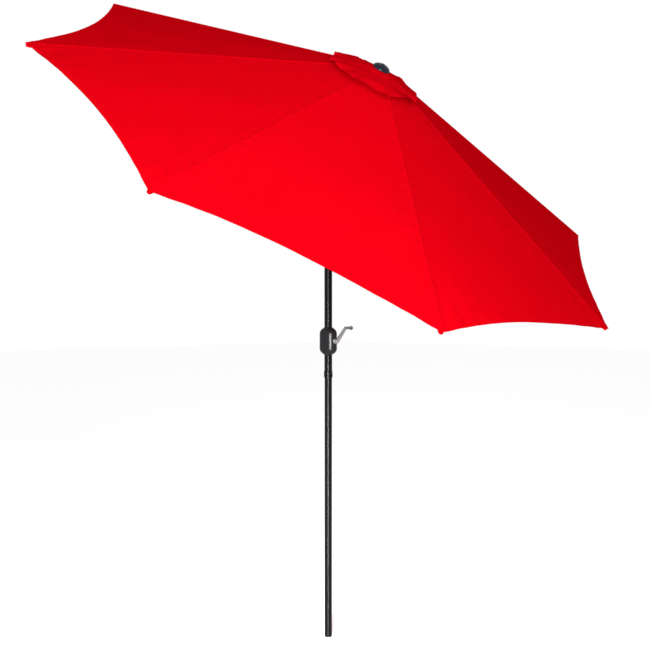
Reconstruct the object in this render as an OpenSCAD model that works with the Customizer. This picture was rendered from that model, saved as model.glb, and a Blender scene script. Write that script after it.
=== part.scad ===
// Push-button tilt patio umbrella: two-piece pole, crank housing, tilt joint, eight ribs, vented canopy.
// Origin: centre of the pole's foot. +Z runs up the pole, +X is the side the canopy tilts to.

/* [Pole] */
// Outer diameter of the lower pole, which goes into a base or a table
lower_pole_d = 32; // [30:0.5:32.6]
// Outer diameter of the upper pole and of the mast above the tilt joint
upper_pole_d = 33.6; // [33.6:0.1:34.2]
// Height at which the upper pole meets the lower pole
pole_split_z = 1120; // [1050:10:1140]
// Length of the lower pole's neck inside the upper pole
neck_length = 92; // [80:2:110]
// Height of the tilt pivot above the foot
pivot_z = 1985; // [1950:5:2050]

/* [Canopy] */
// Angle that the canopy leans towards +X at rest
tilt = 37.4; // [30:0.1:40]
// Height of the canopy cone's apex above the tilt pivot, along the mast
apex_h = 518.8; // [500:0.2:530]
// Radius of the circle through the rib tips
tip_r = 1327.4; // [1250:0.2:1350]
// Drop from the cone's apex to the rib tips, along the mast
rim_drop = 401; // [360:1:420]
// Depth of the rim's curve at the middle of each panel
scallop = 58; // [40:2:90]
// Slant radius of the vent cap
vent_slant = 225; // [200:5:230]
// Height of the vent cap's edge above the main canopy
vent_lift = 19; // [19:1:24]
// Fall of the vent cap from its centre to its edge
vent_slope = 10.1; // [9.8:0.1:15]
// Thickness of the canopy solids
cloth = 1.2; // [1:0.1:1.5]

/* [Frame] */
// Radius of the rib pivots in the crown, and of the strut pivots in the runner
hub_r = 58; // [57:0.5:60]
// Distance from a rib's pivot to its strut, along the rib
strut_at = 535; // [500:5:535]
// Angle below level of a rib when the canopy is closed
closed_slope = 84; // [80:1:84]
// Width of a rib
rib_w = 10; // [9:0.5:10]
// Height of a rib
rib_h = 14; // [12:0.5:14]

/* [Crank] */
// Height of the crank's axis
crank_z = 1277; // [1270:1:1290]
// Length of the crank arm between its two axes
arm_length = 76; // [65:0.2:80]
// Angle of the crank arm from upright, towards +Y
arm_lean = 42; // [30:0.5:45]
// Length of the spinning grip
grip_length = 34; // [32:1:48]

/* [Hidden] */
SIDES = 8;
STEP = 360 / SIDES;
HALF = STEP / 2;
e = 0.01;
$fn = 64;

lower_r = lower_pole_d / 2;
upper_r = upper_pole_d / 2;
upper_bore = upper_r - 1.2;
neck_r = upper_bore - 0.1;
lower_bore = lower_r - 1.3;

slope = atan(rim_drop / tip_r);
rib_gap = 1;
rib_under = cloth + rib_gap + rib_h / 2;
crown_z = apex_h - hub_r * tan(slope) - rib_under / cos(slope);
rib_length = (tip_r - 18 - hub_r) / cos(slope);

bracket_drop = rib_h / 2 + 7;
link = sqrt(strut_at * strut_at + bracket_drop * bracket_drop);
link_open = slope + atan(bracket_drop / strut_at);
link_closed = closed_slope + atan(bracket_drop / strut_at);
runner_z = crown_z - 2 * link * sin(link_open);
runner_travel = 2 * link * (sin(link_closed) - sin(link_open));

hinge_pin_r = 2.5;
hinge_gap = 0.1;
joint_r = 14;
joint_gap = 0.6;
tilt_pin_r = 4;
button_z = -40;

housing_r = 27;
housing_off = 15;
housing_rise = 31;
housing_half = 67;
housing_wall = 2.5;
arm_x = 52;
arm_y = arm_length * sin(arm_lean);
arm_z = arm_length * cos(arm_lean);

vent_r = vent_slant * cos(slope);
vent_edge_z = apex_h - vent_r * tan(slope) + vent_lift;
vent_apex_z = vent_edge_z + vent_r * tan(vent_slope);
finial_r = 37;

NODES = concat(
    ["lower_pole", "foot_cap", "locator_rivet"],
    ["upper_pole", "pole_collar", "housing_front", "housing_rear", "housing_screws"],
    ["crank_bush", "brake_spring", "crank_shaft", "cord_drum", "crank_arm", "grip_pin", "crank_grip"],
    ["tilt_socket", "tilt_pin", "tilt_button", "button_spring", "tilt_head"],
    ["mast_tube", "crown", "crown_pins", "finial", "vent_top", "pulley", "pulley_pin", "runner"],
    [for (k = [1:SIDES]) str("rib_", k)],
    [for (k = [1:SIDES]) str("rib_tip_", k)],
    [for (k = [1:SIDES]) str("strut_", k)],
    [for (k = [1:SIDES]) str("canopy_gore_", k)]
);
node = "all";

function shows(name) = node == "all" || node == name;

// ---- placing ----

// The mast's own frame: origin at the tilt pivot, +Z up the mast
module on_mast() translate([0, 0, pivot_z]) rotate([0, tilt, 0]) children();

// The frame of rib k: +X points from the mast's axis towards the rib
module on_rib(k) on_mast() rotate([0, 0, HALF + STEP * (k - 1)]) children();

// The same eight places round an axis
module around() for (k = [0:SIDES - 1]) rotate([0, 0, HALF + STEP * k]) children();

// ---- plain shapes ----

module rod(r, from, to) translate([0, 0, from]) cylinder(r = r, h = to - from);

module tube(outer, bore, from, to) difference() {
    rod(outer, from, to);
    rod(bore, from - 1, to + 1);
}

// A cylinder along X
module x_rod(r, from, to) rotate([0, 90, 0]) rod(r, from, to);

// A cylinder along Y, centred on it
module y_rod(r, half) rotate([90, 0, 0]) cylinder(r = r, h = 2 * half, center = true);

module block(low, high) translate(low) cube(high - low);

// A round wire bent into a coil along Z
module coil(radius, wire_r, pitch, turns) {
    per_turn = 20;
    sides = 6;
    rings = turns * per_turn;
    points = [
        for (i = [0:rings], s = [0:sides - 1])
            let (a = i * 360 / per_turn, b = s * 360 / sides, r = radius + wire_r * cos(b))
            [r * cos(a), r * sin(a), pitch * i / per_turn + wire_r * sin(b)]
    ];
    skin = [
        for (i = [0:rings - 1], s = [0:sides - 1])
            let (next = (s + 1) % sides, a = i * sides, b = (i + 1) * sides)
            [a + s, b + s, b + next, a + next]
    ];
    near_end = [for (s = [0:sides - 1]) s];
    far_end = [for (s = [sides - 1:-1:0]) rings * sides + s];
    polyhedron(points, concat(skin, [near_end, far_end]));
}

// ---- pole ----

module lower_pole() color("dimgray") difference() {
    union() {
        rod(lower_r, 0, pole_split_z);
        rod(neck_r, pole_split_z - e, pole_split_z + neck_length);
    }
    rod(lower_bore, -1, pole_split_z + neck_length + 1);
    translate([0, 0, pole_split_z + 20]) x_rod(3.05, 0, upper_r);
}

module foot_cap() color("black") difference() {
    rod(lower_bore - 0.05, 0, 16);
    rod(lower_bore - 2.5, 3, 17);
}

module locator_rivet() color("silver") translate([0, 0, pole_split_z + 20]) {
    x_rod(3, lower_bore - 2, upper_r + 2.3);
    x_rod(4.8, upper_r + 2.3 - e, upper_r + 3.9);
}

// The open notch that passes the locator rivet
module rivet_notch() {
    translate([0, 0, pole_split_z + 20]) x_rod(3.4, 5, upper_r + 6);
    block([5, -3.4, pole_split_z - 5], [upper_r + 6, 3.4, pole_split_z + 20]);
}

module upper_pole() color("dimgray") difference() {
    tube(upper_r, upper_bore, pole_split_z + 0.2, pivot_z - joint_r - joint_gap);
    rivet_notch();
    block([5, -3, crank_z + 18], [upper_r + 1, 3, crank_z + 40]);
    translate([0, 0, pivot_z + button_z]) x_rod(5.2, 0, upper_r + 1);
}

module pole_collar() color("black") difference() {
    union() {
        rod(upper_r + 1.9, pole_split_z + 0.2, pole_split_z + 26);
        translate([0, 0, pole_split_z + 26 - e]) cylinder(r1 = upper_r + 1.9, r2 = upper_r + 0.9, h = 2.4);
    }
    rod(upper_r + 0.05, pole_split_z, pole_split_z + 40);
    rivet_notch();
}

// ---- crank housing ----

module housing_solid(r) hull() for (z = [-1, 1]) {
    for (x = [-1, 1]) translate([x * housing_off, 0, crank_z + z * housing_rise]) sphere(r = r, $fn = 40);
    translate([0, 0, crank_z + z * (housing_half - housing_r + 4)]) sphere(r = r - 4, $fn = 40);
}

module at_screws() for (y = [-1, 1], z = [-1, 1])
    translate([0, y * 20.5, crank_z + z * 28]) children();

module housing_shell(front) {
    side = front ? 1 : -1;
    low = front ? 0.1 : -60;
    high = front ? 60 : -0.1;
    difference() {
        intersection() {
            union() {
                difference() {
                    housing_solid(housing_r);
                    housing_solid(housing_r - housing_wall);
                }
                intersection() {
                    at_screws() x_rod(3.4, -40, 40);
                    housing_solid(housing_r - 1);
                }
            }
            block([low, -40, crank_z - 80], [high, 40, crank_z + 80]);
        }
        rod(upper_r + 0.15, crank_z - 80, crank_z + 80);
        at_screws() x_rod(front ? 1.45 : 1.6, -45, front ? 16 : 1);
        at_screws() x_rod(3.1, -45, front ? -44 : -28);
        if (front) translate([0, 0, crank_z]) x_rod(8.05, 30, 60);
    }
}

module housing_front() color("black") housing_shell(true);

module housing_rear() color("black") housing_shell(false);

module housing_screws() color("silver") at_screws() difference() {
    union() {
        x_rod(1.4, -29, 15);
        x_rod(3, -30.5, -28.1);
    }
    block([-32, -2, -0.4], [-29.6, 2, 0.4]);
    block([-32, -0.4, -2], [-29.6, 0.4, 2]);
}

module crank_bush() color("silver") translate([0, 0, crank_z]) difference() {
    union() {
        x_rod(8, 38, 43);
        x_rod(11.5, 42.2, 44.4);
    }
    x_rod(5.1, 37, 46);
}

module brake_spring() color("silver") translate([31.8, 0, crank_z]) rotate([0, 90, 0]) coil(9, 0.7, 1.7, 3);

module crank_shaft() color("silver") translate([0, 0, crank_z]) x_rod(5, 18.4, arm_x + 6.5);

module cord_drum() color("silver") translate([0, 0, crank_z]) difference() {
    union() {
        x_rod(12.5, 19, 31);
        x_rod(16.5, 19, 21);
        x_rod(16.5, 29, 31);
        x_rod(7.5, 30, 37);
    }
    x_rod(5.05, 18, 38);
}

module crank_arm() color("silver") translate([0, 0, crank_z]) difference() {
    union() {
        x_rod(8.5, 45.4, arm_x + 5);
        hull() {
            x_rod(9.5, arm_x, arm_x + 5, $fn = 48);
            translate([0, arm_y, arm_z]) x_rod(6, arm_x, arm_x + 5, $fn = 48);
        }
        translate([0, arm_y, arm_z]) x_rod(6, arm_x, arm_x + 5.4);
    }
    x_rod(5.05, 44, arm_x + 8);
    translate([0, arm_y, arm_z]) x_rod(3.05, arm_x - 1, arm_x + 8);
}

module grip_pin() color("silver") translate([0, arm_y, crank_z + arm_z]) {
    x_rod(3, arm_x - 1.5, arm_x + grip_length - 4);
    x_rod(5, arm_x - 3.5, arm_x - 0.1);
}

module crank_grip() color("black") translate([arm_x + 6, arm_y, crank_z + arm_z]) rotate([0, 90, 0]) rotate_extrude()
    polygon([[3.1, 0], [6, 0], [5.6, 4], [6.6, grip_length * 0.5], [8.7, grip_length - 2],
        [8.2, grip_length], [6.2, grip_length], [6.2, grip_length - 9], [3.1, grip_length - 9]]);

// ---- tilt joint ----

module tilt_socket() color("black") translate([0, 0, pivot_z]) difference() {
    intersection() {
        union() {
            rod(upper_bore - 0.05, -64, -joint_r - 1);
            difference() {
                union() {
                    y_rod(joint_r, 20);
                    block([-joint_r, -20, -joint_r - 1], [joint_r, 20, 0]);
                }
                block([-20, -8.3, -joint_r - 1 + joint_gap], [20, 8.3, 20]);
            }
        }
        union() {
            rod(upper_r, -joint_r - joint_gap, 20);
            rod(upper_bore - 0.05, -80, -joint_r);
        }
    }
    y_rod(tilt_pin_r + 0.05, 30);
    translate([0, 0, button_z]) {
        x_rod(7.2, -3, 12);
        x_rod(5.2, 0, 20);
    }
}

module tilt_pin() color("silver") translate([0, 0, pivot_z]) y_rod(tilt_pin_r, 16);

module tilt_button() color("black") translate([0, 0, pivot_z + button_z]) {
    x_rod(7, 8.8, 11.8);
    x_rod(5, 11, upper_r + 3.4);
    translate([upper_r + 3.4 - e, 0, 0]) rotate([0, 90, 0]) cylinder(r1 = 5, r2 = 4, h = 0.8);
}

module button_spring() color("silver") translate([-2, 0, pivot_z + button_z]) rotate([0, 90, 0]) coil(4.6, 0.5, 1.9, 3.4);

module tilt_head() color("black") on_mast() difference() {
    union() {
        rod(upper_bore - 0.05, joint_r + 1, 64);
        intersection() {
            union() {
                y_rod(joint_r, 7.9);
                block([-joint_r, -7.9, 0], [joint_r, 7.9, joint_r + 2]);
            }
            rod(upper_bore - 0.05, -20, 20);
        }
    }
    y_rod(tilt_pin_r + hinge_gap, 30);
}

// ---- mast, crown and runner ----

module mast_tube() color("dimgray") on_mast() difference() {
    tube(upper_r, upper_bore, joint_r + joint_gap, crown_z - 2);
    translate([0, 0, crown_z - 42]) y_rod(hinge_pin_r + 0.05, 30);
}

module crown() color("black") on_mast() difference() {
    union() {
        rod(hub_r + 11, crown_z - 10, crown_z + 4);
        rod(24, crown_z - 34, crown_z);
        rod(14, crown_z, vent_apex_z - 1);
    }
    rod(upper_r + 0.05, crown_z - 40, crown_z - 2);
    rod(4.05, crown_z - 3, vent_apex_z);
    around() {
        block([hub_r - 7.6, -3.4, crown_z - 20], [hub_r + 20, 3.4, crown_z + 20]);
        translate([hub_r, 0, crown_z]) y_rod(hinge_pin_r + 0.05, 9);
    }
}

module crown_pins() color("silver") on_mast() around() translate([hub_r, 0, crown_z]) y_rod(hinge_pin_r, 8.6);

// Height of a level line on the vent cap's cone
function vent_z(r, lift) = vent_apex_z - r * tan(vent_slope) + lift;

module finial() color("black") on_mast() rotate_extrude() polygon([
    [0, vent_apex_z - 22],
    [4, vent_apex_z - 22],
    [4, vent_apex_z - 0.5],
    [15, vent_apex_z - 0.5],
    for (r = [15, finial_r - 1]) [r, vent_z(r, cloth + 0.9)],
    for (a = [0:10:70]) [finial_r * cos(a), vent_z(finial_r, cloth + 4) + 20 * sin(a)],
    [8, vent_z(finial_r, cloth + 23.4)],
    [7, vent_z(finial_r, cloth + 25)],
    [0, vent_z(finial_r, cloth + 26)]
]);

module vent_top() color("red") on_mast() rotate_extrude() polygon([
    for (r = [16, 66]) [r, vent_z(r, 0.5)],
    for (r = [66, 16]) [r, vent_z(r, 0.5 + cloth)]
]);

module pulley() color("white") on_mast() translate([0, 4, crown_z - 42]) rotate([90, 0, 0]) rotate_extrude()
    polygon([[2.6, 0], [12.5, 0], [12.5, 1.5], [10.5, 3], [10.5, 5], [12.5, 6.5], [12.5, 8], [2.6, 8]]);

module pulley_pin() color("silver") on_mast() translate([0, 0, crown_z - 42]) y_rod(hinge_pin_r, 16.4);

module runner() color("black") on_mast() translate([0, 0, runner_z]) difference() {
    union() {
        rod(23.5, -20, 34);
        rod(hub_r + 11, -9, 7);
    }
    rod(upper_r + 0.7, -30, 50);
    block([0, -upper_r - 0.9, -30], [100, upper_r + 0.9, 50]);
    rotate([0, 0, HALF]) block([hub_r - 7, -20, -30], [hub_r + 20, 2, 50]);
    rotate([0, 0, -HALF]) block([hub_r - 7, -2, -30], [hub_r + 20, 20, 50]);
    around() {
        block([hub_r - 7, -2, -30], [hub_r + 20, 2, 50]);
        translate([hub_r, 0, 0]) y_rod(hinge_pin_r + 0.4, 4.6);
        block([hub_r - hinge_pin_r - 0.4, -4.6, -30], [hub_r + hinge_pin_r + 0.4, 4.6, 0]);
    }
}

// ---- ribs and struts ----

// A rib's own frame: origin at its pivot, +X along the rib
module along_rib(k) on_rib(k) translate([hub_r, 0, crown_z]) rotate([0, slope, 0]) children();

module rib(k) color("dimgray") along_rib(k) {
    difference() {
        union() {
            block([16, -rib_w / 2, -rib_h / 2], [rib_length, rib_w / 2, rib_h / 2]);
            y_rod(rib_h / 2, 3);
            block([0, -3, -rib_h / 2], [17, 3, rib_h / 2]);
            for (side = [-1, 1]) translate([strut_at, side * 3.2, -bracket_drop]) {
                y_rod(6, 1.1);
                block([-6, -1.1, 0], [6, 1.1, 8]);
            }
        }
        block([20, -rib_w / 2 + 1.2, -rib_h / 2 + 1.2], [rib_length + 1, rib_w / 2 - 1.2, rib_h / 2 - 1.2]);
        y_rod(hinge_pin_r + hinge_gap, 10);
    }
    translate([strut_at, 0, -bracket_drop]) y_rod(hinge_pin_r, 5.2);
}

module rib_tip(k) color("gray") along_rib(k) {
    plug = [rib_w / 2 - 1.3, rib_h / 2 - 1.3];
    block([rib_length - 24, -plug.x, -plug.y], [rib_length + 1, plug.x, plug.y]);
    translate([rib_length + 0.1, 0, 0]) hull() {
        block([0, -rib_w / 2, -rib_h / 2], [2, rib_w / 2, rib_h / 2]);
        block([0, -3, -3], [8, 3, rib_h / 2]);
    }
}

module strut(k) color("dimgray") on_rib(k) translate([hub_r, 0, runner_z]) rotate([0, -link_open, 0]) {
    inner_flat = 84;
    outer_flat = link - 34;
    difference() {
        union() {
            y_rod(6, 1.5);
            block([0, -1.5, -5], [inner_flat + 6, 1.5, 5]);
            x_rod(5, inner_flat, outer_flat);
            block([outer_flat - 6, -1.5, -5], [link, 1.5, 5]);
            translate([link, 0, 0]) y_rod(6, 1.5);
        }
        translate([link, 0, 0]) y_rod(hinge_pin_r + hinge_gap, 5);
        x_rod(4, inner_flat + 10, outer_flat - 10);
    }
    y_rod(hinge_pin_r, 4.2);
}

// ---- canopy ----

// Radius of the rim across a gore: u is 0 on the rib and 1 at the middle of a panel
function rim_r(outer, depth, u) = outer - depth * abs(u) * (2 - abs(u));

// A point of a gore at radius r along its rib
function gore_point(r, u, apex, fall) = [
    r * (1 - abs(u) * pow(sin(HALF), 2)),
    r * u * sin(HALF) * cos(HALF) - 0.2 * u,
    apex - r * tan(fall)
];

// A thin sheet between two rims that follows the cone's flat panels
module gore_sheet(inner, outer, depth, apex, fall, rows, columns) {
    wide = columns + 1;
    grid = [
        for (i = [0:rows], j = [0:columns])
            let (u = 2 * j / columns - 1, r = inner + (rim_r(outer, depth, u) - inner) * i / rows)
            gore_point(r, u, apex, fall)
    ];
    count = len(grid);
    points = concat(grid, [for (p = grid) p - [0, 0, cloth / cos(fall)]]);
    function quad(a, b, c, d) = [[a, b, c], [a, c, d]];
    top = [
        for (i = [0:rows - 1], j = [0:columns - 1])
            let (a = i * wide + j)
            each quad(a, a + 1, a + wide + 1, a + wide)
    ];
    rim = concat(
        [for (j = [0:columns]) j],
        [for (i = [1:rows]) i * wide + columns],
        [for (j = [columns - 1:-1:0]) rows * wide + j],
        [for (i = [rows - 1:-1:1]) i * wide]
    );
    edge = [
        for (n = [0:len(rim) - 1])
            let (a = rim[n], b = rim[(n + 1) % len(rim)])
            each quad(b, a, a + count, b + count)
    ];
    bottom = [for (f = top) [f[2] + count, f[1] + count, f[0] + count]];
    polyhedron(points, concat(top, bottom, edge));
}

module canopy_gore(k) color("red") on_rib(k) {
    gore_sheet(76, tip_r - 4, scallop * cos(slope), apex_h, slope, 9, 12);
    gore_sheet(63, vent_r, 7, vent_apex_z, vent_slope, 3, 8);
}

if (shows("lower_pole")) lower_pole();
if (shows("foot_cap")) foot_cap();
if (shows("locator_rivet")) locator_rivet();
if (shows("upper_pole")) upper_pole();
if (shows("pole_collar")) pole_collar();
if (shows("housing_front")) housing_front();
if (shows("housing_rear")) housing_rear();
if (shows("housing_screws")) housing_screws();
if (shows("crank_bush")) crank_bush();
if (shows("brake_spring")) brake_spring();
if (shows("crank_shaft")) crank_shaft();
if (shows("cord_drum")) cord_drum();
if (shows("crank_arm")) crank_arm();
if (shows("grip_pin")) grip_pin();
if (shows("crank_grip")) crank_grip();
if (shows("tilt_socket")) tilt_socket();
if (shows("tilt_pin")) tilt_pin();
if (shows("tilt_button")) tilt_button();
if (shows("button_spring")) button_spring();
if (shows("tilt_head")) tilt_head();
if (shows("mast_tube")) mast_tube();
if (shows("crown")) crown();
if (shows("crown_pins")) crown_pins();
if (shows("finial")) finial();
if (shows("vent_top")) vent_top();
if (shows("pulley")) pulley();
if (shows("pulley_pin")) pulley_pin();
if (shows("runner")) runner();
for (k = [1:SIDES]) if (shows(str("rib_", k))) rib(k);
for (k = [1:SIDES]) if (shows(str("rib_tip_", k))) rib_tip(k);
for (k = [1:SIDES]) if (shows(str("strut_", k))) strut(k);
for (k = [1:SIDES]) if (shows(str("canopy_gore_", k))) canopy_gore(k);
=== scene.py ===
import math

import bmesh
import bpy
from mathutils import Matrix, Vector


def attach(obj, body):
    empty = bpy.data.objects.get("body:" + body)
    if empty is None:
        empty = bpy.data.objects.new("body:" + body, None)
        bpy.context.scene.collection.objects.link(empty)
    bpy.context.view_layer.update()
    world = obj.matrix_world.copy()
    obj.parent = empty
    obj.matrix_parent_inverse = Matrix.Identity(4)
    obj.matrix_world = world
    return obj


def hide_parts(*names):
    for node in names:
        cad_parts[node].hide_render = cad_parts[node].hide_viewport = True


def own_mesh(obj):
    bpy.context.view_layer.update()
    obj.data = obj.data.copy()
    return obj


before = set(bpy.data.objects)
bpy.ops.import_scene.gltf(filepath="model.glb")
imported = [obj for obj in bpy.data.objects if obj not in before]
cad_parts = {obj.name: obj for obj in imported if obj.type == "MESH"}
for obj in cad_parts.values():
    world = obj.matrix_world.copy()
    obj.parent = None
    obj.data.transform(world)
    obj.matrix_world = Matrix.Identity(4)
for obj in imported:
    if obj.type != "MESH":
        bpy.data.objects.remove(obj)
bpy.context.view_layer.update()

# ---- sizes, in metres, in the mast's frame: origin at the tilt pivot, +Z up the mast ----
PIVOT_Z = 1.985
TILT = math.radians(37.4)
APEX = 0.5188  # the canopy cone's apex
TIP_R = 1.3274  # circle through the rib tips
DROP = 0.401  # from the apex to the rib tips
SLOPE = math.atan(DROP / TIP_R)
HALF = math.radians(22.5)  # half the angle between two ribs
SPREAD = math.sin(HALF) * math.cos(HALF)  # half width of a piece for each metre of its radius
INNER_R = 0.076
RIM_R = 1.3234
SCALLOP = 0.058 * math.cos(SLOPE)  # mean depth of the rim's curve
SCALLOP_CHANGE = 0.015
HIGH_SIDE = math.radians(225)  # where the rim is drawn in most
SAG = 0.010
HUB_R = 0.058
RIB_UNDER = 0.0092  # from the cloth to the middle of a rib
TIP_PLUG = 0.018  # from the circle of the rib tips to the end of a rib's tube
CROWN_Z = APEX - HUB_R * math.tan(SLOPE) - RIB_UNDER / math.cos(SLOPE)
RIB_LENGTH = (TIP_R - TIP_PLUG - HUB_R) / math.cos(SLOPE)
VENT_INNER_R = 0.060
VENT_R = 0.225 * math.cos(SLOPE)
VENT_SLOPE = math.radians(10.1)
VENT_LIFT = 0.019  # the vent cap's edge above the main canopy
VENT_APEX = APEX - VENT_R * math.tan(SLOPE) + VENT_LIFT + VENT_R * math.tan(VENT_SLOPE)
VENT_DRIFT = (0.004, -0.018)  # the loose cap's edge hangs a little to one side
CENTRE_R = (0.016, 0.068)  # inner and outer radius of the vent cap's centre
HEM = 0.022
CLOTH = 0.0009
SEAM_HALF = 0.0085
SEAM = [0, 0.0012, 0.0030, 0.0048, 0.0062, 0.0076, 0.0092]  # columns of cloth beside a rib's line
STITCH_ROWS = (-0.0062, -0.0022, 0.0022, 0.0062)
STITCH_PITCH = 0.0075
STITCH_LENGTH = 0.0046
STITCH_WIDTH = 0.00035

MAST = Matrix.Translation((0, 0, PIVOT_Z)) @ Matrix.Rotation(TILT, 4, "Y")


def rib_matrix(k):
    return MAST @ Matrix.Rotation(HALF + 2 * HALF * (k - 1), 4, "Z")


# ---- materials ----


def new_material(name, color, rough, **sockets):
    m = bpy.data.materials.new(name)
    m.use_nodes = True
    b = m.node_tree.nodes["Principled BSDF"]
    b.inputs["Base Color"].default_value = (*color, 1)
    b.inputs["Roughness"].default_value = rough
    for key, value in sockets.items():
        b.inputs[key.replace("_", " ")].default_value = value
    return m, m.node_tree, b


def wear(tree, b, rough, spread, scale, bump, stretch=(1, 1, 1)):
    """Roughness and a fine bump that vary over the piece."""
    coord = tree.nodes.new("ShaderNodeTexCoord")
    mapping = tree.nodes.new("ShaderNodeMapping")
    mapping.inputs["Scale"].default_value = stretch
    noise = tree.nodes.new("ShaderNodeTexNoise")
    noise.inputs["Scale"].default_value = scale
    noise.inputs["Detail"].default_value = 4
    ramp = tree.nodes.new("ShaderNodeMapRange")
    ramp.inputs["To Min"].default_value = rough - spread
    ramp.inputs["To Max"].default_value = rough + spread
    bumps = tree.nodes.new("ShaderNodeBump")
    bumps.inputs["Strength"].default_value = bump
    bumps.inputs["Distance"].default_value = 0.0004
    link = tree.links.new
    link(coord.outputs["Object"], mapping.inputs["Vector"])
    link(mapping.outputs["Vector"], noise.inputs["Vector"])
    link(noise.outputs["Fac"], ramp.inputs["Value"])
    link(ramp.outputs["Result"], b.inputs["Roughness"])
    link(noise.outputs["Fac"], bumps.inputs["Height"])
    link(bumps.outputs["Normal"], b.inputs["Normal"])


def coated_metal(name, color, rough, spread=0.05, bump=0.15, shine=0.12, drawn=0.0):
    """Coated tube; drawn tubes stretch their highlights along the tube."""
    m, tree, b = new_material(name, color, rough, Specular_IOR_Level=shine,
                              Anisotropic=drawn, Anisotropic_Rotation=0.25)
    wear(tree, b, rough, spread, 60, bump, (1, 1, 0.2))
    if drawn:
        tangent = tree.nodes.new("ShaderNodeTangent")
        tangent.direction_type = "RADIAL"
        tangent.axis = "Z"
        tree.links.new(tangent.outputs["Tangent"], b.inputs["Tangent"])
    return m


def plastic(name, color, rough, bump=0.3, scale=900, shine=0.09):
    m, tree, b = new_material(name, color, rough, Specular_IOR_Level=shine)
    wear(tree, b, rough, 0.06, scale, bump)
    return m


def steel(name, color, rough):
    m, tree, b = new_material(name, color, rough, Metallic=1.0)
    wear(tree, b, rough, 0.08, 180, 0.1, (6, 1, 1))
    return m


def woven(name, color, dark, through):
    """Plain woven cloth: threads both ways, slow shade changes, and some light through it."""
    m, tree, b = new_material(name, color, 1.0, Specular_IOR_Level=0.0)
    n, link = tree.nodes, tree.links.new
    uv = n.new("ShaderNodeUVMap")
    uv.uv_map = "cloth"
    heights = []
    for axis in ("X", "Y"):
        wave = n.new("ShaderNodeTexWave")
        wave.bands_direction = axis
        wave.inputs["Scale"].default_value = 160
        wave.inputs["Distortion"].default_value = 0.6
        wave.inputs["Detail"].default_value = 1
        link(uv.outputs["UV"], wave.inputs["Vector"])
        heights.append(wave)
    both = n.new("ShaderNodeMath")
    both.operation = "MULTIPLY"
    link(heights[0].outputs["Fac"], both.inputs[0])
    link(heights[1].outputs["Fac"], both.inputs[1])
    slow = n.new("ShaderNodeTexNoise")
    slow.inputs["Scale"].default_value = 7
    slow.inputs["Detail"].default_value = 5
    slow.inputs["Roughness"].default_value = 0.6
    link(uv.outputs["UV"], slow.inputs["Vector"])
    spread = n.new("ShaderNodeMapRange")
    spread.inputs["From Min"].default_value = 0.3
    spread.inputs["From Max"].default_value = 0.7
    link(slow.outputs["Fac"], spread.inputs["Value"])
    mix = n.new("ShaderNodeMix")
    mix.data_type = "RGBA"
    mix.inputs["A"].default_value = (*dark, 1)
    mix.inputs["B"].default_value = (*color, 1)
    link(spread.outputs["Result"], mix.inputs["Factor"])
    link(mix.outputs["Result"], b.inputs["Base Color"])
    bumps = n.new("ShaderNodeBump")
    bumps.inputs["Strength"].default_value = 0.25
    bumps.inputs["Distance"].default_value = 0.0003
    link(both.outputs["Value"], bumps.inputs["Height"])
    link(bumps.outputs["Normal"], b.inputs["Normal"])
    if through:
        thin = n.new("ShaderNodeBsdfTranslucent")
        thin.inputs["Color"].default_value = (*through, 1)
        blend = n.new("ShaderNodeMixShader")
        blend.inputs["Fac"].default_value = 0.16
        link(b.outputs["BSDF"], blend.inputs[1])
        link(thin.outputs["BSDF"], blend.inputs[2])
        link(blend.outputs["Shader"], n["Material Output"].inputs["Surface"])
    return m


RED = (0.47, 0.0003, 0.0040)
MATS = {
    "pole": coated_metal("pole coating", (0.005, 0.005, 0.005), 0.4, 0.04, 0.08, 0.03),
    "gloss": coated_metal("gloss pole coating", (0.0015, 0.0015, 0.0016), 0.3, 0.02, 0.03, 0.06, 0.95),
    "frame": coated_metal("frame coating", (0.016, 0.016, 0.017), 0.42, 0.07, 0.3),
    "black": plastic("black plastic", (0.007, 0.007, 0.008), 0.42),
    "housing": plastic("housing plastic", (0.004, 0.004, 0.0045), 0.28, 0.12),
    "finial": plastic("finial plastic", (0.006, 0.007, 0.012), 0.28, 0.1),
    "grey": plastic("grey plastic", (0.05, 0.05, 0.055), 0.5),
    "grip": plastic("grip plastic", (0.045, 0.045, 0.05), 0.42),
    "steel": steel("zinc-plated steel", (0.33, 0.33, 0.34), 0.45),
    "arm": steel("crank arm steel", (0.30, 0.30, 0.31), 0.45),
    "white": plastic("white nylon", (0.7, 0.7, 0.67), 0.5),
    "cloth": woven("canopy cloth", RED, (0.44, 0.0003, 0.0036), (0.56, 0.0004, 0.004)),
    "hem": woven("canopy hem", (0.42, 0.0003, 0.0035), (0.39, 0.0003, 0.0032), None),
    "pocket": woven("rib pocket", (0.30, 0.0004, 0.0022), (0.25, 0.0003, 0.002), None),
    "thread": woven("thread", (0.38, 0.001, 0.004), (0.34, 0.001, 0.004), None),
}

NODE_MATERIAL = {
    "lower_pole": "gloss", "upper_pole": "gloss", "mast_tube": "pole",
    "foot_cap": "black", "pole_collar": "gloss", "housing_front": "housing", "housing_rear": "housing",
    "tilt_socket": "black", "locator_rivet": "black", "tilt_head": "black", "tilt_button": "black", "crown": "black",
    "runner": "black", "finial": "finial", "crank_grip": "grip", "crank_arm": "arm",
    "cord_drum": "white", "pulley": "white",
}


def material_of(name):
    if name.startswith("rib_tip_"):
        return "grey"
    if name.startswith(("rib_", "strut_")):
        return "frame"
    return NODE_MATERIAL.get(name, "steel")


for name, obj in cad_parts.items():
    obj.data.materials.clear()
    obj.data.materials.append(MATS[material_of(name)])

# ---- cloth surfaces ----


def rib_turn(k, u=0.0):
    """Angle round the mast of rib k, or of a line beside it: u is 1 at the middle of the next panel."""
    return HALF + 2 * HALF * (k - 1) + u * HALF


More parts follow.
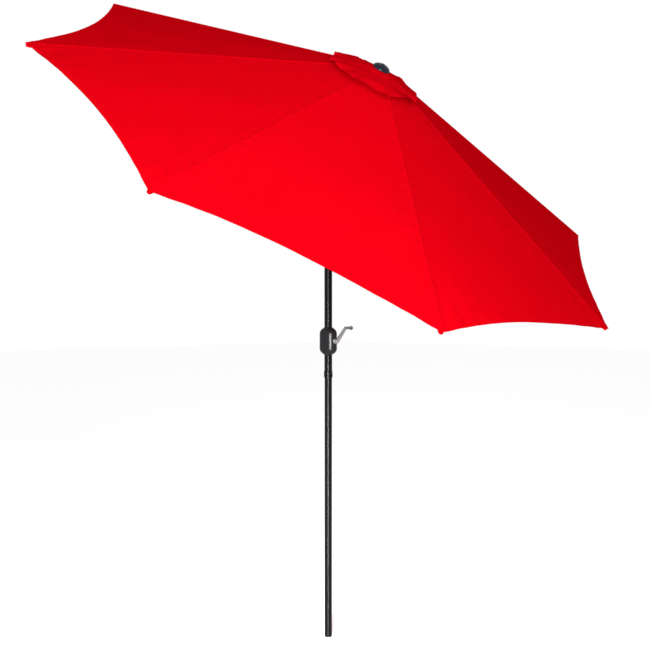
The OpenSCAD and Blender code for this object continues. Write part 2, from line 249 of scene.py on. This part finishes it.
def ripple(x, y):
    """Slow, slight unevenness of stretched cloth, the same on both sides of a panel's middle."""
    return (0.0011 * math.sin(7.1 * x + 3.3 * y + 0.7) + 0.0009 * math.sin(-5.3 * x + 8.9 * y + 2.1)
            + 0.0005 * math.sin(17.0 * x - 13.0 * y + 4.0) + 0.0004 * math.sin(23.0 * x + 19.0 * y))


def rim(u, k):
    """Radius of the rim: the low side hangs out a little and the high side is drawn in."""
    depth = SCALLOP + SCALLOP_CHANGE * math.cos(rib_turn(k, u) - HIGH_SIDE)
    return RIM_R - depth * abs(u) * (2 - abs(u))


def on_panel(k, r, u):
    """A point of the cloth in rib k's frame: r runs along the rib, u is 0 on it, 1 at a panel's middle."""
    a = abs(u)
    x = r * (1 - a * math.sin(HALF) ** 2)
    y = r * u * SPREAD
    t = min(max((r - INNER_R) / (RIM_R - INNER_R), 0), 1.1)
    z = APEX - r * math.tan(SLOPE) - SAG * a * (2 - a) * t ** 1.2
    c, s = math.cos(rib_turn(k)), math.sin(rib_turn(k))
    z += ripple(x * c - y * s, x * s + y * c) * min(1, a * 3) * min(1, t * 4)
    # short puckers where the seam gathers the cloth
    d = abs(y)
    fade = math.exp(-d / 0.045) * max(0, 1 - a) ** 2 * min(1, d / 0.012)
    z += 0.0007 * fade * math.sin(r * 118 + 1.7 * math.sin(r * 9 + k) + (0 if u > 0 else 2.2))
    # pull lines that fan in from the rib's end
    reach = max(0, (r - 0.95) / 0.38)
    pull = reach ** 2 * math.exp(-d / 0.16) * min(1, d / 0.03)
    z += 0.0016 * pull * math.sin(38 * a * (1.4 - 0.6 * reach) + k)
    return Vector((x, y, z))


def rounded(p, normal, u):
    """Turn a panel's normal towards the round cone's, as cloth drawn over a rib has no sharp fold."""
    if u == 0:
        return normal
    side = math.copysign(1, u)
    steep = math.atan(math.tan(SLOPE) / math.cos(HALF))
    flat = Vector((math.sin(steep) * math.cos(HALF), math.sin(steep) * math.sin(HALF) * side, math.cos(steep)))
    turn = math.atan2(p.y, p.x)
    cone = Vector((math.sin(SLOPE) * math.cos(turn), math.sin(SLOPE) * math.sin(turn), math.cos(SLOPE)))
    return (normal + (cone - flat) * (0.45 + 0.4 * min(1, p.x / RIM_R))).normalized()


def seam_height(y):
    """The raised, double-stitched seam over a rib."""
    d = abs(y)
    if d > SEAM_HALF:
        return 0
    rise = 0.0011 * min(1, (SEAM_HALF - d) / 0.0014)
    for row in STITCH_ROWS[2:]:
        rise -= 0.0005 * math.exp(-((d - row) / 0.0007) ** 2)
    return rise


def surface_at(top, t, u):
    """Point, direction along the rib, direction across it, and upward normal."""
    e = 1e-3
    along = (top(t + e, u) - top(t - e, u)).normalized()
    across = (top(t, u + e) - top(t, u - e)).normalized()
    normal = along.cross(across).normalized()
    return top(t, u), along, across, -normal if normal.z < 0 else normal


def add_piece(name, verts, faces, uv_of, *materials):
    """A new object; uv_of gives the cloth coordinates of a vertex from its index."""
    mesh = bpy.data.meshes.new(name)
    mesh.from_pydata(verts, [], faces)
    mesh.update()
    layer = mesh.uv_layers.new(name="cloth")
    for loop in mesh.loops:
        layer.data[loop.index].uv = uv_of(loop.vertex_index)
    for material in materials:
        mesh.materials.append(MATS[material])
    obj = bpy.data.objects.new(name, mesh)
    bpy.context.scene.collection.objects.link(obj)
    return obj


def build_sheet(name, k, rows, columns, top, thickness, hem_row):
    """A closed cloth shell in rib k's frame, with its hem in a second material."""
    n_cols = len(columns(rows[0]))
    points, normals, uvs = [], [], []
    for row in rows:
        for u in columns(row):
            p, _, _, normal = surface_at(top, row, u)
            points.append(p)
            normals.append(rounded(p, normal, u))
            uvs.append((p.y, math.hypot(p.x, p.z - APEX)))
    under = [p - n * thickness(rows[i // n_cols], p.y) for i, (p, n) in enumerate(zip(points, normals))]
    count, last = len(points), len(rows) - 1
    faces = []
    for i in range(last):
        for j in range(n_cols - 1):
            a = i * n_cols + j
            quad = (a, a + n_cols, a + n_cols + 1, a + 1)
            faces += [quad, tuple(q + count for q in reversed(quad))]
    edge = list(range(n_cols))
    edge += [i * n_cols + n_cols - 1 for i in range(1, last + 1)]
    edge += [last * n_cols + j for j in range(n_cols - 2, -1, -1)]
    edge += [i * n_cols for i in range(last - 1, 0, -1)]
    faces += [(a, b, b + count, a + count) for a, b in zip(edge, edge[1:] + edge[:1])]
    to_row = rib_matrix(k)
    obj = add_piece(name, [to_row @ p for p in points + under], faces, lambda i: uvs[i % count], "cloth", "hem")
    mesh = obj.data
    mesh.shade_smooth()
    bm = bmesh.new()
    bm.from_mesh(mesh)
    bmesh.ops.recalc_face_normals(bm, faces=bm.faces)
    bm.to_mesh(mesh)
    bm.free()
    up = [to_row.to_3x3() @ n for n in normals]
    mesh.normals_split_custom_set_from_vertices([tuple(n) for n in up] + [tuple(-n) for n in up])
    for poly in mesh.polygons:
        if min(rows[v % count // n_cols] for v in poly.vertices) > hem_row:
            poly.material_index = 1
    return obj


def columns_at(r, count, spacing):
    """Signed u of every column at radius r: close together on the seam, further apart beyond it."""
    near = [s / (r * SPREAD) for s in SEAM]
    start = near[-1]
    out = near + [start + (1 - start) * (i / count) ** spacing for i in range(1, count + 1)]
    return [-u for u in reversed(out[1:])] + out


def stitch(name, k, top, radius, seam_rows, hem_row, hem_count):
    """Short raised threads: four rows along the seam, and one row round the hem that skips the seam."""
    runs = []
    for y in STITCH_ROWS:
        for t in seam_rows:
            point, along, _, normal = surface_at(top, t, y / (radius(t) * SPREAD))
            runs.append((point, along, normal))
    for i in range(hem_count):
        u = -1 + 2 * (i + 0.5) / hem_count
        if abs(u) >= 0.018:
            point, _, across, normal = surface_at(top, hem_row, u)
            runs.append((point, across, normal))
    to_row = rib_matrix(k)
    verts, faces = [], []
    for point, along, normal in runs:
        side = normal.cross(along).normalized() * STITCH_WIDTH
        b = len(verts)
        for way in (-1, 1):
            end = point + normal * 0.0001 + along * (way * STITCH_LENGTH / 2)
            crest = end + normal * (STITCH_WIDTH * 0.9)
            verts += [to_row @ p for p in (end - side, end + side, crest + side * 0.5, crest - side * 0.5)]
        faces += [(b + 3, b + 2, b + 1, b), (b + 4, b + 5, b + 6, b + 7)]
        faces += [(b + i, b + (i + 1) % 4, b + 4 + (i + 1) % 4, b + 4 + i) for i in range(4)]
    return add_piece(name, verts, faces, lambda i: (i % 8 * 0.001, i * 0.001), "thread")


# ---- the eight main pieces ----

HEM_T = 1 - HEM / (RIM_R - INNER_R)
GORE_ROWS = [i / 84 for i in range(85) if i / 84 < HEM_T - 0.006]
GORE_ROWS += [HEM_T - 0.0012, HEM_T, HEM_T + 0.0012, HEM_T + 0.006, 0.997, 1.0]


def gore_r(t, u=0, k=1):
    """Radius at row t. On the rib itself, where u is 0, it is the same for every k."""
    return INNER_R + (rim(u, k) - INNER_R) * t


def gore_top(k):
    def top(t, u):
        p = on_panel(k, gore_r(t, u, k), u)
        if t > 0:
            p.z += seam_height(p.y)
        return p
    return top


def gore_columns(t):
    return columns_at(gore_r(t), 20, 1.25)


def gore_thickness(t, y):
    return CLOTH + (0.0011 if t >= HEM_T + 0.001 else 0) + (0.0006 if abs(y) < SEAM_HALF else 0)


# ---- the vent cap's flaps ----

VENT_ROWS = [i / 16 for i in range(15)] + [0.915, 0.93, 0.945, 0.97, 1.0]


def vent_rim(u):
    return VENT_R - 0.008 - 0.003 * abs(u) * (2 - abs(u))


def vent_radius(t):
    return VENT_INNER_R + (VENT_R - VENT_INNER_R) * t


def vent_top(k):
    def top(t, u):
        a = abs(u)
        r = VENT_INNER_R + (vent_rim(u) - VENT_INNER_R) * t
        x = r * (1 - a * math.sin(HALF) ** 2)
        y = r * u * SPREAD
        z = VENT_APEX - r * math.tan(VENT_SLOPE)
        lift = t * t
        c, s = math.cos(rib_turn(k)), math.sin(rib_turn(k))
        gx, gy = x * c - y * s, x * s + y * c
        x += lift * (VENT_DRIFT[0] * c + VENT_DRIFT[1] * s)
        y += lift * (VENT_DRIFT[1] * c - VENT_DRIFT[0] * s)
        # the free edge waves, and drops where the seam draws it down
        wave = (0.0042 * math.sin(31 * gx + 12 * gy + 1.0) + 0.0032 * math.sin(-26 * gx + 38 * gy + 0.4)
                + 0.0018 * math.sin(71 * gx - 53 * gy + 2.0))
        z += lift * wave * min(1, a * 2.2) - 0.005 * lift * max(0, 1 - a * 3) ** 2
        return Vector((x, y, z + seam_height(y) * 0.8))
    return top


def vent_columns(t):
    return columns_at(vent_radius(t), 14, 1)


def vent_thickness(t, y):
    return CLOTH + (0.0009 if t >= 0.93 else 0)


# ---- rib pockets ----


def loop_point(angle, half_y, half_z, power):
    """A point of a loop between a circle and a rectangle."""
    c, s = math.cos(angle), math.sin(angle)
    return half_y * math.copysign(abs(c) ** power, c), half_z * math.copysign(abs(s) ** power, s)


def pocket(k):
    """The cloth sleeve, sewn under the rim, that holds the end of a rib."""
    verts, faces = [], []
    to_row = rib_matrix(k)
    along_rib = Matrix.Translation((HUB_R, 0, CROWN_Z)) @ Matrix.Rotation(SLOPE, 4, "Y")
    ring = 20
    angles = [2 * math.pi * i / ring for i in range(ring)]
    # distance past the end of the rib's tube, and how full the sleeve is there
    stations = [(-0.070, 0.80), (-0.066, 1.0), (-0.040, 1.03), (-0.015, 1.0),
                (-0.002, 0.95), (0.004, 0.80), (0.0095, 0.55)]
    for s, full in stations:
        for angle in angles:
            y, z = loop_point(angle, 0.0068, 0.0086, 0.55)
            z = min(z * (full if math.sin(angle) < 0 else 1), 0.0081)
            verts.append(to_row @ (along_rib @ Vector((RIB_LENGTH + s, y * (0.94 + 0.06 * full), z))))
    outer = len(verts)
    for s, full in stations:
        for angle in angles:
            y, z = loop_point(angle, 0.0058, 0.0077, 0.5)
            z *= full if math.sin(angle) < 0 and s > 0 else 1
            back = 0.0008 if s > 0.005 else 0
            verts.append(to_row @ (along_rib @ Vector((RIB_LENGTH + s - back, y, z))))
    last = len(stations) - 1
    for i in range(last):
        for j in range(ring):
            a, b = i * ring + j, i * ring + (j + 1) % ring
            faces.append((a, b, b + ring, a + ring))
            a, b = a + outer, b + outer
            faces.append((a, a + ring, b + ring, b))
    for j in range(ring):
        a, b = j, (j + 1) % ring
        faces.append((a, a + outer, b + outer, b))
    faces.append([last * ring + j for j in range(ring)])
    faces.append([outer + last * ring + j for j in reversed(range(ring))])
    obj = add_piece(f"rib_pocket_{k}", verts, faces, lambda i: (verts[i].x + verts[i].y, verts[i].z), "pocket")
    obj.data.shade_smooth()
    return obj


# ---- the vent cap's centre, gathered under the finial ----


def vent_centre():
    rings, parts = 12, 96
    inner, outer = CENTRE_R
    verts, faces = [], []
    for side in (0, 1):
        for i in range(rings + 1):
            r = inner + (outer - inner) * i / rings
            for j in range(parts):
                a = 2 * math.pi * j / parts
                fold = 0.0006 * math.sin(8 * a + 0.4) * (r / 0.07)
                z = VENT_APEX - r * math.tan(VENT_SLOPE) + 0.0019 + fold - side * CLOTH
                verts.append(MAST @ Vector((r * math.cos(a), r * math.sin(a), z)))
    count = (rings + 1) * parts
    for i in range(rings):
        for j in range(parts):
            a, b = i * parts + j, i * parts + (j + 1) % parts
            faces.append((a, a + parts, b + parts, b))
            faces.append((a + count, b + count, b + parts + count, a + parts + count))
    for i in (0, rings):
        for j in range(parts):
            a, b = i * parts + j, i * parts + (j + 1) % parts
            quad = (a, b, b + count, a + count)
            faces.append(quad if i == 0 else tuple(reversed(quad)))
    obj = add_piece("vent_centre", verts, faces, lambda i: (verts[i].x, verts[i].y), "cloth")
    obj.data.shade_smooth()
    return obj


# ---- the canopy ----


def follow(obj, k):
    """The piece rides on rib k, with a mesh of its own."""
    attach(obj, f"rib_{k}")
    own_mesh(obj)


def flat_facts(inner, edge, slope):
    """Flat width and length, and area, of a piece with a rib down its middle. edge(u) is its outer radius."""
    middle = math.hypot(math.cos(HALF), math.tan(slope))
    steps = 200
    mean_square = sum(edge(-1 + 2 * (i + 0.5) / steps) ** 2 for i in range(steps)) / steps
    width = (edge(-1) + edge(1)) * middle * math.sin(HALF) * math.cos(slope)
    length = (edge(0) - inner) / math.cos(slope)
    return (width, length), math.sin(HALF) * middle * (mean_square - inner ** 2)


seam_steps = int((RIM_R - INNER_R) / STITCH_PITCH)
hem_steps = int(2 * RIM_R * SPREAD / STITCH_PITCH)
gore_seam = [i / seam_steps for i in range(2, seam_steps - 3)]
vent_seam = [i / 18 for i in range(1, 17)]

for k in range(1, 9):
    gore = build_sheet(f"canopy_panel_{k}", k, GORE_ROWS, gore_columns, gore_top(k), gore_thickness, HEM_T + 0.0006)
    flap = build_sheet(f"vent_flap_{k}", k, VENT_ROWS, vent_columns, vent_top(k), vent_thickness, 0.926)
    threads = stitch(f"canopy_stitching_{k}", k, gore_top(k), gore_r, gore_seam, HEM_T + 0.0022, hem_steps)
    vent_threads = stitch(f"vent_stitching_{k}", k, vent_top(k), vent_radius, vent_seam, 0.935, 20)
    sleeve = pocket(k)
    for obj in (gore, flap, threads, vent_threads):
        follow(obj, k)
    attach(sleeve, f"rib_{k}")
    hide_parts(f"canopy_gore_{k}")
    flat, flat_area = flat_facts(INNER_R, lambda u: rim(u, k), SLOPE)
    flat, flat_area = flat_facts(VENT_INNER_R, vent_rim, VENT_SLOPE)

centre = vent_centre()
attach(centre, "mast")
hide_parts("vent_top")

# ---- floor, light and camera ----

bpy.ops.mesh.primitive_plane_add(size=60, location=(0, 0, 0))
floor = bpy.context.object
floor.name = "floor"
floor.data.materials.append(new_material("floor", (0.97, 0.97, 0.97), 0.9, Specular_IOR_Level=0.0)[0])

world = bpy.data.worlds.new("studio")
bpy.context.scene.world = world
world.use_nodes = True
world.node_tree.nodes["Background"].inputs["Color"].default_value = (1, 1, 1, 1)
world.node_tree.nodes["Background"].inputs["Strength"].default_value = 1.0


def area_light(name, at, aim, size, power):
    light = bpy.data.lights.new(name, "AREA")
    light.shape = "RECTANGLE"
    light.size, light.size_y = size
    light.energy = power
    obj = bpy.data.objects.new(name, light)
    bpy.context.scene.collection.objects.link(obj)
    obj.location = at
    obj.rotation_mode = "QUATERNION"
    obj.rotation_quaternion = (Vector(aim) - Vector(at)).to_track_quat("-Z", "Y")
    return light


area_light("key", (3.1, -4.0, 0.85), (0.3, 0, 2.2), (1.8, 1.4), 585)
strip = area_light("strip", (1.97, -2.26, 0.6), (0, 0, 0.5), (0.3, 1.1), 45)
strip.spread = math.radians(40)

# the camera's place and turn were fitted to the photo
CAMERA_AWAY = 4.0910
CAMERA_HEIGHT = 1.3995
CAMERA_AROUND = math.radians(46.013)
camera = bpy.data.objects.new("camera", bpy.data.cameras.new("camera"))
bpy.context.scene.collection.objects.link(camera)
bpy.context.scene.camera = camera
camera.location = (CAMERA_AWAY * math.sin(CAMERA_AROUND), -CAMERA_AWAY * math.cos(CAMERA_AROUND), CAMERA_HEIGHT)
camera.rotation_euler = (math.radians(90 - 0.749), 0, CAMERA_AROUND + math.radians(0.198))
camera.data.lens = 52.57
camera.data.sensor_width = 36

bpy.context.scene.view_settings.view_transform = "Standard"
bpy.context.scene.view_settings.look = "None"
